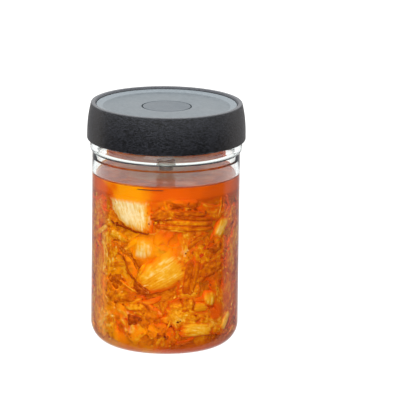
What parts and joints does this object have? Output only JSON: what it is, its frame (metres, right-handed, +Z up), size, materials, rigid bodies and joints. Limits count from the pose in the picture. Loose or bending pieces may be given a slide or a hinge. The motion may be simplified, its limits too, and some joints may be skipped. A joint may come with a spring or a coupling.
{
  "type": "fermentation jar",
  "caption": "Round clear glass jar of kimchi in orange brine, shut by a dark moulded lid with a recessed top and a round valve button.",
  "frame": {"origin": "centre of the base, on the surface that the jar stands on", "axes": "+Z up along the jar's axis; -Y is the side that the picture shows"},
  "size_m": [0.116, 0.116, 0.1794],
  "materials": {
    "clear_glass": "clear pressed glass, fire polished",
    "lid_plastic": "charcoal moulded plastic with a fine matte grain",
    "plate_plastic": "dark grey moulded plastic, satin",
    "button_plastic": "dark grey soft plastic, satin",
    "stem_steel": "turned stainless steel, satin",
    "cabbage": "wet cut cabbage stained orange by chilli",
    "brine": "cloudy orange chilli brine",
    "fill_mark": "thin dark line fired on the glass"
  },
  "bodies": {
    "root": {"glass_jar": "clear_glass", "lid_shell": "lid_plastic", "lid_plate": "plate_plastic", "valve_button": "button_plastic", "valve_stem": "stem_steel", "kimchi": "cabbage"}
  },
  "joints": []
}
